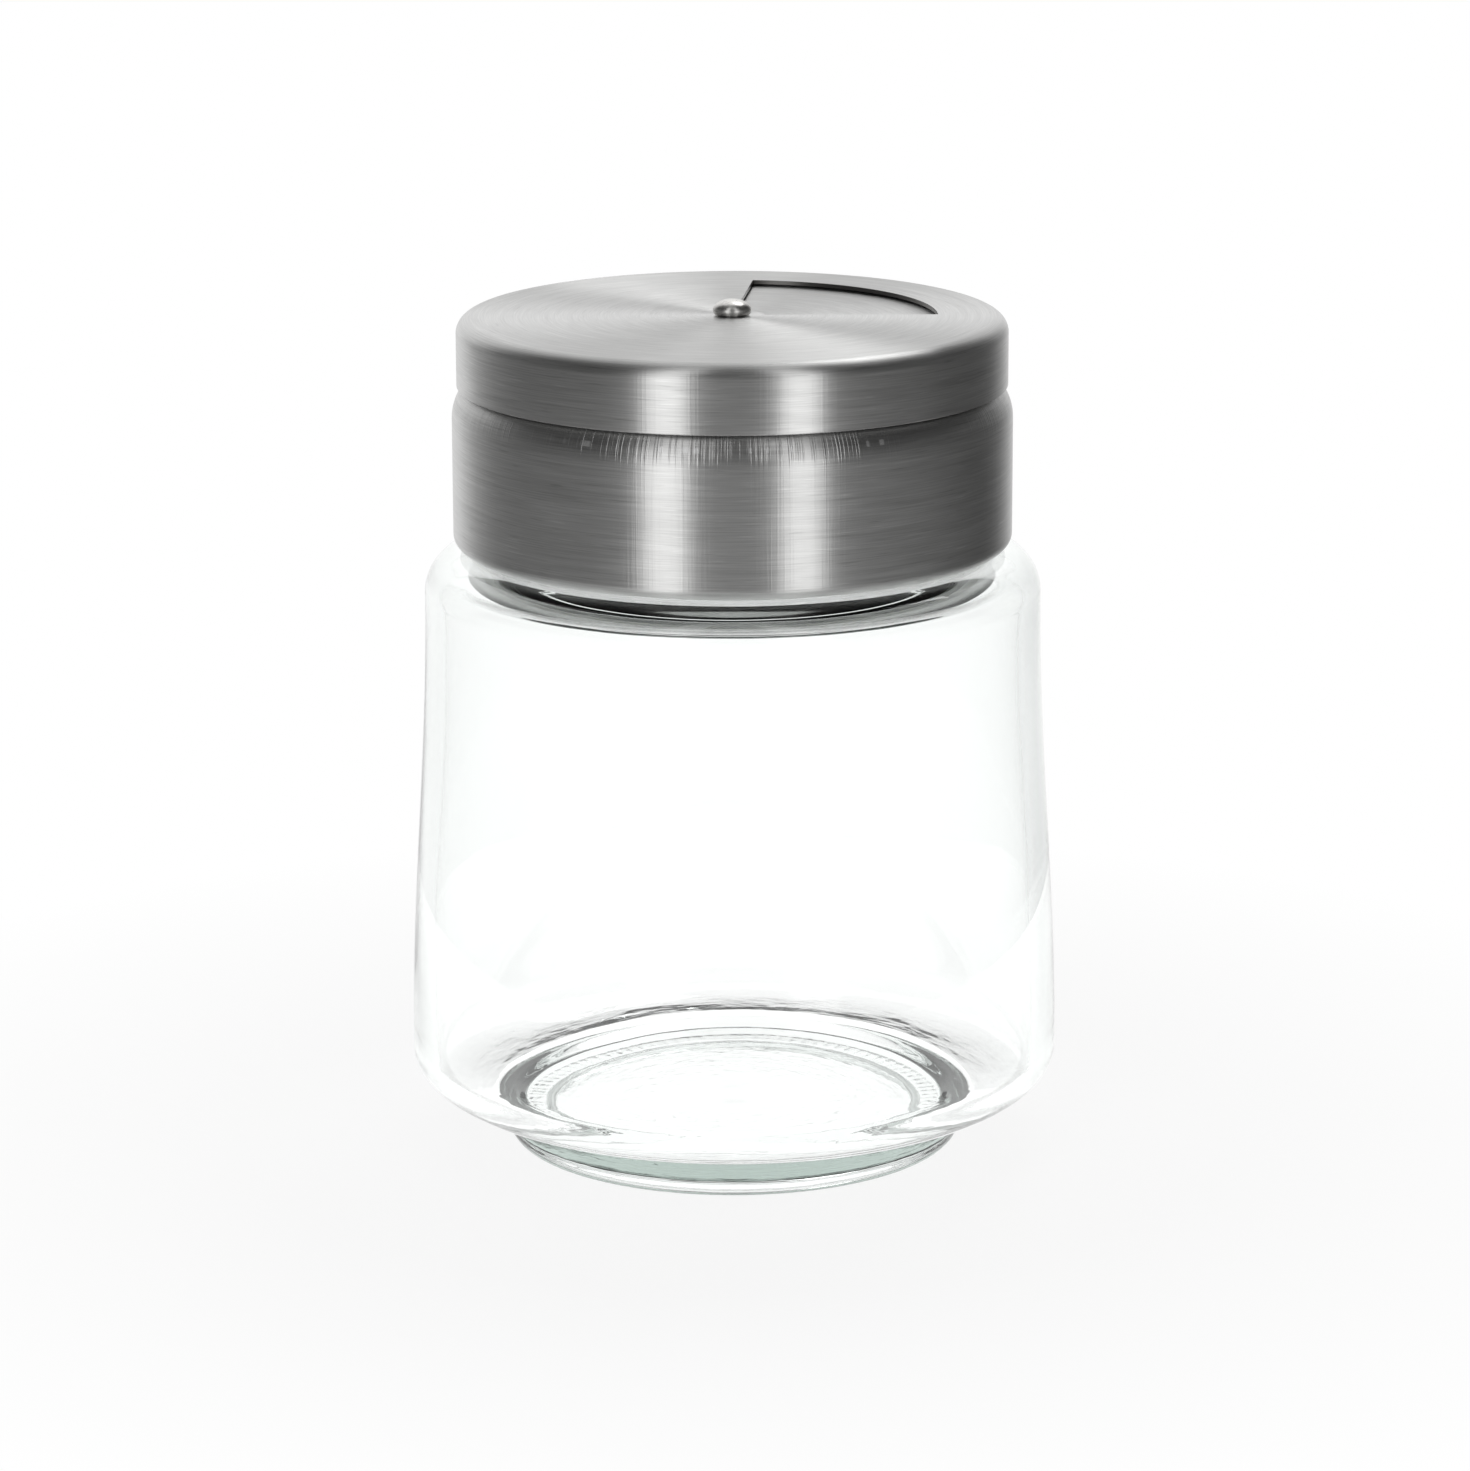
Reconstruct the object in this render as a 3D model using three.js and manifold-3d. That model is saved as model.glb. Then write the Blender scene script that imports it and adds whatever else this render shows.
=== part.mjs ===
import * as THREE from "three";
import { mergeVertices } from "three/addons/utils/BufferGeometryUtils.js";
import Module from "manifold-3d";

// Spice shaker: a glass jar, a steel cap that screws onto it, and a dial that turns on the cap.
// Millimetres, +Z up. The origin is under the middle of the foot, on the surface the jar stands on.
// Each piece is drawn upwards from its own lowest face and then lifted to its place.

// Sizes of the glass jar
const neckDiameter = 46.8; // outside of the neck, between the turns of the thread
const neckWall = 2.8;
const neckHeight = 19.4; // top of the shoulder to the rim
const neckFillet = 0.8;
const rimRound = 0.9;
const bodyHeight = 60.6; // standing surface to the top of the shoulder
const shoulderStandOut = 2.9; // how far the wall stands out past the cap
const shoulderRound = 4.1;
const wallFlare = 1.85; // how much the wall widens from the shoulder to the heel
const wallThickness = 2.2;
const shoulderThickness = 2.4;
const innerShoulderReach = 2.4;
const innerShoulderDepth = 2;
const mouthRound = 1.2; // where the bore opens into the body
const heelHeight = 9.6; // height of the widest point
const heelReach = 8.4;
const heelDrop = 4.9;
const shelfDrop = 2.1; // from the widest point down to the shelf inside, over the heel
const floorCornerReach = 5;
const floorCornerRise = 3.6;
const floorCornerEnd = -76; // direction where the corner's curve meets the shelf
const shelfInset = 1.5; // the shelf ends this far inside the foot's wall
const floorEdgeWidth = 3.2;
const floorThickness = 2.3; // middle of the floor, which is sunk into the foot
const footStep = 1.2; // the foot is set in from the heel's underside
const footDraft = 0.4;
const footRound = 1.4;
const footFaceWidth = 2.2; // flat ring that the jar stands on
const hollowDepth = 1.2; // hollow under the base
const hollowSlope = 3.2;

// Sizes of the screw thread, right-handed with one start
const threadPitch = 4;
const threadDepth = 1;
const threadRootWidth = 1.9;
const threadCrestWidth = 0.8;
const threadGap = 0.3; // radial clearance, jar to insert
const jarThreadTurns = 1.25;
const insertThreadTurns = 1;
const insertThreadLag = 1 / 6; // turns by which the insert's thread starts later than the jar's
const threadDrop = 3; // rim to the middle of the thread's upper end

// Sizes of the steel cap and its plastic insert
const sheetThickness = 0.4;
const capLift = 0.6; // lower edge of the cap above the glass shoulder
const capStandOut = 0.5; // how far the cap's skirt stands out past the dial
const capShoulderReach = 3.25; // the shoulder's curve, measured from the axis of its ellipse
const capShoulderRise = 4;
const capShoulderDrop = 3.3; // lower edge of the dial to the straight part of the skirt
const capCornerRound = 0.9;
const curlRound = 1.2; // lower edge of the skirt, turned in
const curlLip = 0.6;
const insertWall = 1.3;
const insertFlange = 1.2; // flange over the rim, and the foot flange on the curl
const insertRibWidth = 1.2;
const insertRibCount = 16;
const sealThickness = 1.4;
const seatGap = 0.1; // between pieces that are fixed to each other

// Sizes of the dial and what holds it
const dialHeight = 6.75;
const dialCornerRound = 1.55;
const dialGap = 0.35; // radial clearance, dial to cap
const dialLift = 0.25; // running clearance, dial to plate
const windowRadius = 20.3;
const windowHub = 3.2; // land left round the rivet
const windowAngle = 84;
const shankDiameter = 2.4;
const shankClearance = 0.1;
const headDiameter = 3.8;
const headHeight = 1.6;
const headRimHeight = 0.5;
const headFootDiameter = 3.3;
const tailDiameter = 3.6;
const tailHeight = 0.7;
const washerDiameter = 6.4;
const washerThickness = 0.5;
const springDiameter = 5.8;
const springThickness = 0.25;
const springWave = 0.3; // half the height of the waves
const springWaves = 3;

// Sizes of the openings in the cap's plate, one kind in each quarter turn
const quarterTurn = 90;
const fineHoleDiameter = 1.6;
const fineFirstRow = 7;
const fineRowStep = 3.6;
const fineRows = 4;
const fineFirstCount = 2;
const coarseHoleDiameter = 3.4;
const coarseFirstRow = 9;
const coarseRowStep = 6.5;
const coarseRows = 2;
const coarseFirstCount = 2;
const coarseCountStep = 2;
const holeSpreadAngle = 58; // angle between the outermost holes of the last row
const pourInnerRadius = 5.8;
const pourAngle = 68;
const pourRim = 1.6; // the pour opening stays inside the window by this much

// Fineness of the round shapes, and the overrun of cuts and joins
const roundSteps = 52;
const smallSteps = 24;
const holeSteps = 10;
const wallSteps = 6;
const floorEdgeSteps = 4;
const overrun = 0.5;
const mergeDistance = 1e-4;

// Radii that follow from each other, from the bore of the jar out to the heel
const neckRadius = neckDiameter / 2;
const boreRadius = neckRadius - neckWall;
const jarThreadRadius = neckRadius + threadDepth;
const insertThreadRadius = neckRadius + threadGap;
const insertBore = jarThreadRadius + threadGap;
const insertRadius = insertBore + insertWall;
const capNeckInner = insertRadius + seatGap;
const capNeckRadius = capNeckInner + sheetThickness;
const dialInner = capNeckRadius + dialGap;
const dialRadius = dialInner + sheetThickness;
const capRadius = dialRadius + capStandOut;
const capInner = capRadius - sheetThickness;
const shoulderRadius = capRadius + shoulderStandOut;
const jarRadius = shoulderRadius + wallFlare;
const footRadius = jarRadius - heelReach - footStep;
const shelfEdge = footRadius - shelfInset;

// Heights that follow from each other, from the glass shoulder up to the dial
const floorHeight = hollowDepth + floorThickness;
const shelfHeight = heelHeight - shelfDrop;
const rimHeight = bodyHeight + neckHeight;
const capBase = bodyHeight + capLift;
const insertBase = capBase + sheetThickness + seatGap;
const sealBase = rimHeight + seatGap;
const flangeBase = sealBase + sealThickness + seatGap;
const insertTop = flangeBase + insertFlange;
const plateBase = insertTop + seatGap;
const plateTop = plateBase + sheetThickness;
const dialTop = plateTop + dialLift + sheetThickness;
const dialBase = dialTop - dialHeight;
const skirtTop = dialBase - capShoulderDrop;
const springBase = plateBase - seatGap - 2 * springWave - springThickness;
const washerBase = springBase - seatGap - washerThickness;
const tailBase = washerBase - seatGap - tailHeight;
const threadTop = rimHeight - threadDrop;
const threadBase = threadTop - jarThreadTurns * threadPitch;
const closedMiddle = windowAngle / 2; // direction of the plate's plain quarter, under the window
const shankHole = shankDiameter / 2 + shankClearance;

const wasm = await Module();
wasm.setup();

// Materials

function clearGlass() {
  return new THREE.MeshStandardMaterial({
    color: "#eef5f1",
    roughness: 0.03,
    metalness: 0,
    transparent: true,
    opacity: 0.4,
  });
}

function brushedSteel() {
  return new THREE.MeshStandardMaterial({ color: "#b9b8b4", roughness: 0.32, metalness: 1 });
}

function polishedSteel() {
  return new THREE.MeshStandardMaterial({ color: "#cdccc8", roughness: 0.15, metalness: 1 });
}

function springSteel() {
  return new THREE.MeshStandardMaterial({ color: "#a2a19c", roughness: 0.28, metalness: 1 });
}

function naturalPlastic() {
  return new THREE.MeshStandardMaterial({ color: "#e8e8e2", roughness: 0.45, metalness: 0 });
}

function softSeal() {
  return new THREE.MeshStandardMaterial({ color: "#f2f1ec", roughness: 0.7, metalness: 0 });
}

// Geometry helpers. In a section, x is the distance from the axis and y is the height.

function arc(centreX, centreY, radiusX, radiusY, fromDegrees, toDegrees, steps) {
  const curve = new THREE.EllipseCurve(
    centreX,
    centreY,
    radiusX,
    radiusY,
    THREE.MathUtils.degToRad(fromDegrees),
    THREE.MathUtils.degToRad(toDegrees),
    toDegrees < fromDegrees,
  );
  return curve.getPoints(steps);
}

function point(x, y) {
  return new THREE.Vector2(x, y);
}

function turned(section, steps) {
  return new THREE.LatheGeometry(section, steps).rotateX(Math.PI / 2);
}

// A section that doesn't reach the axis is closed on its first point.
function ringSection(points) {
  return [...points, points[0].clone()];
}

function solidOf(geometry) {
  const bare = geometry.clone();
  bare.deleteAttribute("normal");
  bare.deleteAttribute("uv");
  const merged = mergeVertices(bare, mergeDistance);
  return new wasm.Manifold(
    new wasm.Mesh({
      numProp: 3,
      vertProperties: merged.attributes.position.array,
      triVerts: new Uint32Array(merged.index.array),
    }),
  );
}

function geometryOf(solid) {
  const mesh = solid.getMesh();
  const geometry = new THREE.BufferGeometry();
  geometry.setAttribute("position", new THREE.BufferAttribute(mesh.vertProperties, 3));
  geometry.setIndex(new THREE.BufferAttribute(mesh.triVerts, 1));
  geometry.computeVertexNormals();
  return geometry;
}

function joined(first, ...others) {
  return geometryOf(others.reduce((sum, other) => sum.add(solidOf(other)), solidOf(first)));
}

function cut(body, ...tools) {
  return geometryOf(tools.reduce((rest, tool) => rest.subtract(solidOf(tool)), solidOf(body)));
}

// A closed band: the same number of section points at every step, joined from step to step.
// A band that closes on itself has no ends, and any other has its two ends filled.
function bandGeometry(sections, closes) {
  const count = sections[0].length;
  const positions = sections.flat().flatMap((corner) => [corner.x, corner.y, corner.z]);
  const indices = [];
  const lastStep = closes ? sections.length : sections.length - 1;
  for (let step = 0; step < lastStep; step++) {
    const here = step * count;
    const next = ((step + 1) % sections.length) * count;
    for (let side = 0; side < count; side++) {
      const other = (side + 1) % count;
      indices.push(here + side, next + other, next + side);
      indices.push(here + side, here + other, next + other);
    }
  }
  if (!closes) {
    const end = (sections.length - 1) * count;
    for (let side = 1; side < count - 1; side++) {
      indices.push(0, side + 1, side);
      indices.push(end, end + side, end + side + 1);
    }
  }
  const geometry = new THREE.BufferGeometry();
  geometry.setAttribute("position", new THREE.Float32BufferAttribute(positions, 3));
  geometry.setIndex(indices);
  return geometry;
}

// One screw ridge. Its foot is sunk in the wall, and its crest sinks into the wall at both ends.
function threadRidge(wallRadius, crestRadius, startHeight, startTurn, turns) {
  const outwards = Math.sign(crestRadius - wallRadius);
  const sunk = wallRadius - outwards * overrun;
  const fadeTurns = turns / 10;
  const steps = Math.ceil(turns * roundSteps);
  const sections = [];
  for (let step = 0; step <= steps; step++) {
    const turn = (turns * step) / steps;
    const angle = 2 * Math.PI * (startTurn + turn);
    const middle = startHeight + threadPitch * turn;
    const rise = Math.min(1, turn / fadeTurns, (turns - turn) / fadeTurns);
    const crest = THREE.MathUtils.lerp((wallRadius + sunk) / 2, crestRadius, rise);
    const corners = [
      point(sunk, -threadRootWidth / 2),
      point(crest, -threadCrestWidth / 2),
      point(crest, threadCrestWidth / 2),
      point(sunk, threadRootWidth / 2),
    ];
    if (outwards > 0) corners.reverse();
    sections.push(
      corners.map(
        (corner) =>
          new THREE.Vector3(
            corner.x * Math.cos(angle),
            corner.x * Math.sin(angle),
            middle + corner.y,
          ),
      ),
    );
  }
  return bandGeometry(sections, false);
}

// A cutter with the outline of a slice of a ring, about the direction middleDegrees.
function sectorCutter(innerRadius, outerRadius, middleDegrees, spanDegrees, base, height) {
  const from = THREE.MathUtils.degToRad(middleDegrees - spanDegrees / 2);
  const to = THREE.MathUtils.degToRad(middleDegrees + spanDegrees / 2);
  const outline = new THREE.Shape();
  outline.absarc(0, 0, outerRadius, from, to, false);
  outline.absarc(0, 0, innerRadius, to, from, true);
  return new THREE.ExtrudeGeometry(outline, {
    depth: height,
    bevelEnabled: false,
    curveSegments: holeSteps,
  }).translate(0, 0, base);
}

// Cutters for rows of round holes, spread evenly about the direction middleDegrees.
function holeCutters({ diameter, firstRow, rowStep, rows, firstCount, countStep }, middleDegrees) {
  const lastCount = firstCount + (rows - 1) * countStep;
  const lastRow = firstRow + (rows - 1) * rowStep;
  const spacing = (holeSpreadAngle / (lastCount - 1)) * lastRow;
  const cutters = [];
  for (let row = 0; row < rows; row++) {
    const radius = firstRow + row * rowStep;
    const count = firstCount + row * countStep;
    for (let hole = 0; hole < count; hole++) {
      const offset = ((hole - (count - 1) / 2) * spacing) / radius;
      const angle = THREE.MathUtils.degToRad(middleDegrees + offset);
      const cutter = new THREE.CylinderGeometry(
        diameter / 2,
        diameter / 2,
        sheetThickness + 2 * overrun,
        holeSteps,
      );
      cutter.rotateX(Math.PI / 2);
      cutter.translate(
        radius * Math.cos(angle),
        radius * Math.sin(angle),
        plateTop - capBase - sheetThickness / 2,
      );
      cutters.push(cutter);
    }
  }
  return cutters;
}

// Sub-parts

// The outer wall is narrow under the shoulder and swells gently towards the heel.
function wallRadiusAt(height) {
  const wallTop = bodyHeight - shoulderRound;
  const downShare = THREE.MathUtils.clamp((wallTop - height) / (wallTop - heelHeight), 0, 1);
  return shoulderRadius + wallFlare * Math.sin((Math.PI / 2) * downShare) ** 2;
}

function wallPoints(fromHeight, toHeight, inset) {
  const points = [];
  for (let step = 0; step <= wallSteps; step++) {
    const height = THREE.MathUtils.lerp(fromHeight, toHeight, step / wallSteps);
    points.push(point(wallRadiusAt(height) - inset, height));
  }
  return points;
}

// Slopes along the shelf over the heel, then curves down to the sunk middle of the floor.
function floorPoints(start) {
  const cornerEnd = THREE.MathUtils.degToRad(-floorCornerEnd);
  const slope = floorCornerRise / floorCornerReach / Math.tan(cornerEnd);
  const edgeHeight = start.y - slope * (start.x - shelfEdge);
  const points = [];
  for (let step = 0; step <= floorEdgeSteps; step++) {
    const share = step / floorEdgeSteps;
    const drop = THREE.MathUtils.smoothstep(share, 0, 1);
    points.push(
      point(
        shelfEdge - floorEdgeWidth * share,
        THREE.MathUtils.lerp(edgeHeight, floorHeight, drop),
      ),
    );
  }
  return [...points, point(0, floorHeight)];
}

function glassJar() {
  const heelCentre = jarRadius - heelReach;
  const footFace = footRadius - footRound;
  const hollowEdge = footFace - footFaceWidth;
  const footTop = heelHeight - heelDrop - footStep / 2;
  const rimOuter = neckRadius - rimRound;
  const rimInner = boreRadius + rimRound;
  const innerRadius = shoulderRadius - wallThickness;
  const innerTop = bodyHeight - shoulderThickness;
  const innerShoulder = innerTop - innerShoulderDepth;
  const cornerTop = shelfHeight + floorCornerRise;
  const cornerCentre = wallRadiusAt(cornerTop) - wallThickness - floorCornerReach;
  const corner = arc(
    cornerCentre,
    cornerTop,
    floorCornerReach,
    floorCornerRise,
    0,
    floorCornerEnd,
    5,
  );
  const section = [
    point(0, hollowDepth),
    point(hollowEdge - hollowSlope, hollowDepth),
    point(hollowEdge, 0),
    ...arc(footFace, footRound, footRound, footRound, -90, 0, 3),
    point(footRadius + footDraft, footTop),
    ...arc(heelCentre, heelHeight, heelReach, heelDrop, -90, 0, 7),
    ...wallPoints(heelHeight, bodyHeight - shoulderRound, 0).slice(1),
    ...arc(
      shoulderRadius - shoulderRound,
      bodyHeight - shoulderRound,
      shoulderRound,
      shoulderRound,
      0,
      90,
      5,
    ).slice(1),
    ...arc(neckRadius + neckFillet, bodyHeight + neckFillet, neckFillet, neckFillet, 270, 180, 2),
    ...arc(rimOuter, rimHeight - rimRound, rimRound, rimRound, 0, 90, 2),
    ...arc(rimInner, rimHeight - rimRound, rimRound, rimRound, 90, 180, 2),
    ...arc(boreRadius + mouthRound, innerTop + mouthRound, mouthRound, mouthRound, 180, 270, 2),
    ...arc(
      innerRadius - innerShoulderReach,
      innerShoulder,
      innerShoulderReach,
      innerShoulderDepth,
      90,
      0,
      5,
    ),
    ...wallPoints(innerShoulder, cornerTop, wallThickness).slice(1),
    ...corner.slice(1),
    ...floorPoints(corner.at(-1)),
  ];
  const ridge = threadRidge(neckRadius, jarThreadRadius, threadBase, 0, jarThreadTurns);
  const mesh = new THREE.Mesh(joined(turned(section, roundSteps), ridge), clearGlass());
  mesh.name = "glass_jar";
  return mesh;
}

// One drawn steel shell: skirt with a turned-in lower edge, narrower neck, and perforated plate.
function capShell() {
  const top = plateTop - capBase;
  const straightTop = skirtTop - capBase;
  const roundCentre = capRadius - capShoulderReach;
  const innerReach = capShoulderReach - sheetThickness;
  const innerRise = capShoulderRise - sheetThickness;
  const outerStart = THREE.MathUtils.radToDeg(
    Math.acos((capNeckRadius - roundCentre) / capShoulderReach),
  );
  const innerStart = THREE.MathUtils.radToDeg(
    Math.acos((capNeckInner - roundCentre) / innerReach),
  );
  const cornerX = capNeckRadius - capCornerRound;
  const cornerY = top - capCornerRound;
  const cornerInner = capCornerRound - sheetThickness;
  const curlX = capRadius - curlRound;
  const curlInner = curlRound - sheetThickness;
  const section = [
    point(shankHole, top),
    point(shankHole, top - sheetThickness),
    ...arc(cornerX, cornerY, cornerInner, cornerInner, 90, 0, 2),
    ...arc(roundCentre, straightTop, innerReach, innerRise, innerStart, 0, 4),
    ...arc(curlX, curlRound, curlInner, curlInner, 0, -90, 3),
    point(curlX - curlLip, sheetThickness),
    point(curlX - curlLip, 0),
    ...arc(curlX, curlRound, curlRound, curlRound, -90, 0, 4),
    ...arc(roundCentre, straightTop, capShoulderReach, capShoulderRise, 0, outerStart, 5),
    ...arc(cornerX, cornerY, capCornerRound, capCornerRound, 0, 90, 3),
  ];
  const fine = {
    diameter: fineHoleDiameter,
    firstRow: fineFirstRow,
    rowStep: fineRowStep,
    rows: fineRows,
    firstCount: fineFirstCount,
    countStep: 1,
  };
  const coarse = {
    diameter: coarseHoleDiameter,
    firstRow: coarseFirstRow,
    rowStep: coarseRowStep,
    rows: coarseRows,
    firstCount: coarseFirstCount,
    countStep: coarseCountStep,
  };
  const pour = sectorCutter(
    pourInnerRadius,
    windowRadius - pourRim,
    closedMiddle - quarterTurn,
    pourAngle,
    top - sheetThickness - overrun,
    sheetThickness + 2 * overrun,
  );
  const shell = cut(
    turned(ringSection(section), roundSteps),
    ...holeCutters(fine, closedMiddle + quarterTurn),
    ...holeCutters(coarse, closedMiddle + 2 * quarterTurn),
    pour,
  );
  const mesh = new THREE.Mesh(shell, brushedSteel());
  mesh.name = "cap_shell";
  mesh.position.z = capBase;
  return mesh;
}

// Moulded lining of the cap: it carries the inside thread and is gripped by ribs in the shell.
function capInsert() {
  const top = insertTop - insertBase;
  const flangeUnder = flangeBase - insertBase;
  const flangeRadius = capInner - seatGap;
  const chamfer = curlRound - sheetThickness;
  const ribTop = skirtTop - insertBase;
  const section = [
    point(boreRadius, top),
    point(boreRadius, flangeUnder),
    point(insertBore, flangeUnder),
    point(insertBore, 0),
    point(flangeRadius - chamfer, 0),
    point(flangeRadius, chamfer),
    point(flangeRadius, chamfer + insertFlange),
    point(insertRadius, chamfer + insertFlange),
    point(insertRadius, top - capCornerRound),
    point(insertRadius - capCornerRound, top),
  ];
  const ribs = [];
  for (let rib = 0; rib < insertRibCount; rib++) {
    const ribInner = insertRadius - insertWall / 2;
    const slab = new THREE.BoxGeometry(flangeRadius - ribInner, insertRibWidth, ribTop - chamfer);
    slab.translate((flangeRadius + ribInner) / 2 - seatGap, 0, (ribTop + chamfer) / 2);
    slab.rotateZ((2 * Math.PI * rib) / insertRibCount);
    ribs.push(slab);
  }
  const ridge = threadRidge(
    insertBore,
    insertThreadRadius,
    threadBase - insertBase + threadPitch * (insertThreadLag - 1 / 2),
    insertThreadLag,
    insertThreadTurns,
  );
  const lining = joined(turned(ringSection(section), roundSteps), ridge, ...ribs);
  const mesh = new THREE.Mesh(lining, naturalPlastic());
  mesh.name = "cap_insert";
  mesh.position.z = insertBase;
  return mesh;
}

// Soft ring between the insert's flange and the glass rim, kept in by the insert's thread.
function sealingRing() {
  const inner = boreRadius + seatGap;
  const outer = insertBore - threadGap;
  const section = [
    point(inner, 0),
    point(outer, 0),
    point(outer, sealThickness),
    point(inner, sealThickness),
  ];
  const mesh = new THREE.Mesh(turned(ringSection(section), roundSteps), softSeal());
  mesh.name = "sealing_ring";
  mesh.position.z = sealBase;
  return mesh;
}

// Drawn steel cover with a window that stops over each quarter of the plate in turn.
function shakerDial() {
  const cornerX = dialRadius - dialCornerRound;
  const cornerY = dialHeight - dialCornerRound;
  const cornerInner = dialCornerRound - sheetThickness;
  const section = [
    point(shankHole, dialHeight),
    point(shankHole, dialHeight - sheetThickness),
    ...arc(cornerX, cornerY, cornerInner, cornerInner, 90, 0, 3),
    point(dialInner, 0),
    point(dialRadius, 0),
    ...arc(cornerX, cornerY, dialCornerRound, dialCornerRound, 0, 90, 5),
  ];
  const window = sectorCutter(
    windowHub,
    windowRadius,
    closedMiddle,
    windowAngle,
    dialHeight - sheetThickness - overrun,
    sheetThickness + 2 * overrun,
  );
  const mesh = new THREE.Mesh(
    cut(turned(ringSection(section), roundSteps), window),
    brushedSteel(),
  );
  mesh.name = "shaker_dial";
  mesh.position.z = dialBase;
  return mesh;
}

// Domed head above the dial, shank through dial, plate and washers, and a set tail underneath.
function centreRivet() {
  const shank = shankDiameter / 2;
  const tail = tailDiameter / 2;
  const head = headDiameter / 2;
  const tailTop = washerBase - seatGap - tailBase;
  const headFoot = dialTop + seatGap - tailBase;
  const tailRound = tailHeight / 2;
  const domeHeight = headHeight - headRimHeight;
  const section = [
    point(0, 0),
    ...arc(tail - tailRound, tailRound, tailRound, tailRound, -90, 90, 4).slice(0, -1),
    point(tail - tailRound, tailTop),
    point(shank, tailTop),
    point(shank, headFoot),
    point(headFootDiameter / 2, headFoot),
    ...arc(0, dialTop + headRimHeight - tailBase, head, domeHeight, 0, 90, 6),
  ];
  const mesh = new THREE.Mesh(turned(section, smallSteps), polishedSteel());
  mesh.name = "centre_rivet";
  mesh.position.z = tailBase;
  return mesh;
}

// Flat washer that spreads the tail's load.
function rivetWasher() {
  const inner = shankHole;
  const outer = washerDiameter / 2;
  const section = [
    point(inner, 0),
    point(outer, 0),
    point(outer, washerThickness),
    point(inner, washerThickness),
  ];
  const mesh = new THREE.Mesh(turned(ringSection(section), smallSteps), polishedSteel());
  mesh.name = "rivet_washer";
  mesh.position.z = washerBase;
  return mesh;
}

// Wavy spring washer that keeps the dial pressed to the plate, so it stays where it is turned.
function springWasher() {
  const sections = [];
  const steps = (springWaves * smallSteps) / 2;
  for (let step = 0; step < steps; step++) {
    const angle = (2 * Math.PI * step) / steps;
    const wave = springWave * (1 + Math.cos(springWaves * angle));
    const corners = [
      point(shankHole, wave),
      point(shankHole, wave + springThickness),
      point(springDiameter / 2, wave + springThickness),
      point(springDiameter / 2, wave),
    ];
    sections.push(
      corners.map(
        (corner) =>
          new THREE.Vector3(corner.x * Math.cos(angle), corner.x * Math.sin(angle), corner.y),
      ),
    );
  }
  const mesh = new THREE.Mesh(bandGeometry(sections, true), springSteel());
  mesh.name = "spring_washer";
  mesh.position.z = springBase;
  return mesh;
}

const lid = new THREE.Group();
lid.add(capShell(), capInsert(), centreRivet(), rivetWasher(), springWasher());

const shaker = new THREE.Group();
shaker.add(glassJar(), sealingRing(), lid, shakerDial());

export default shaker;
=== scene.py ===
import bpy
import bmesh
import math
from functools import partial
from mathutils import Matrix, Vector, noise


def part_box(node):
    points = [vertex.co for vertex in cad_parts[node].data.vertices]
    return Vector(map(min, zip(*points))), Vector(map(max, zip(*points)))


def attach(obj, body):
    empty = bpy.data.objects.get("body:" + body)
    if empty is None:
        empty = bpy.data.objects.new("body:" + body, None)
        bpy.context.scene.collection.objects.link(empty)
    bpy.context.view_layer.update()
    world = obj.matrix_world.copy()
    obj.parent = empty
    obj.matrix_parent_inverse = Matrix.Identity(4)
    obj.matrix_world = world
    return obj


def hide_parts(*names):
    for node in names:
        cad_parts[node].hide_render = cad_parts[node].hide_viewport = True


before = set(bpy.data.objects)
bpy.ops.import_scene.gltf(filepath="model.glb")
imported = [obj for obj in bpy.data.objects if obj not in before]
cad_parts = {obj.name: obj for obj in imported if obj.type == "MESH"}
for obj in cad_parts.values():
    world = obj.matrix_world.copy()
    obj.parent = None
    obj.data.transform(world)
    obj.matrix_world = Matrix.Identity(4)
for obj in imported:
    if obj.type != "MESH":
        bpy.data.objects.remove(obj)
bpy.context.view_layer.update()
mm = 0.001
print("frame loaded:", len(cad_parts), "nodes")

# sizes from the frame, in millimetres


def radiusOf(node):
    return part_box(node)[1][0] / mm


def lowOf(node):
    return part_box(node)[0][2] / mm


def highOf(node):
    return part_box(node)[1][2] / mm


def innerRadiusOf(node):
    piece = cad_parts[node]
    places = [piece.matrix_world @ vertex.co for vertex in piece.data.vertices]
    return min(math.hypot(place.x, place.y) for place in places) / mm


# shape helpers: a section is a list of (distance from the axis, height)


# a part of a circle, or of an ellipse where two radii are given
def arcPoints(centre, radii, start, end, steps):
    reach, rise = radii if isinstance(radii, tuple) else (radii, radii)
    points = []
    for i in range(steps + 1):
        angle = math.radians(start + (end - start) * i / steps)
        points.append((centre[0] + reach * math.cos(angle), centre[1] + rise * math.sin(angle)))
    return points


def linePoints(start, end, steps):
    return [
        (start[0] + (end[0] - start[0]) * i / steps, start[1] + (end[1] - start[1]) * i / steps)
        for i in range(1, steps + 1)
    ]


def smoothStep(low, high, value):
    share = min(1.0, max(0.0, (value - low) / (high - low)))
    return share * share * (3 - 2 * share)


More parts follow.
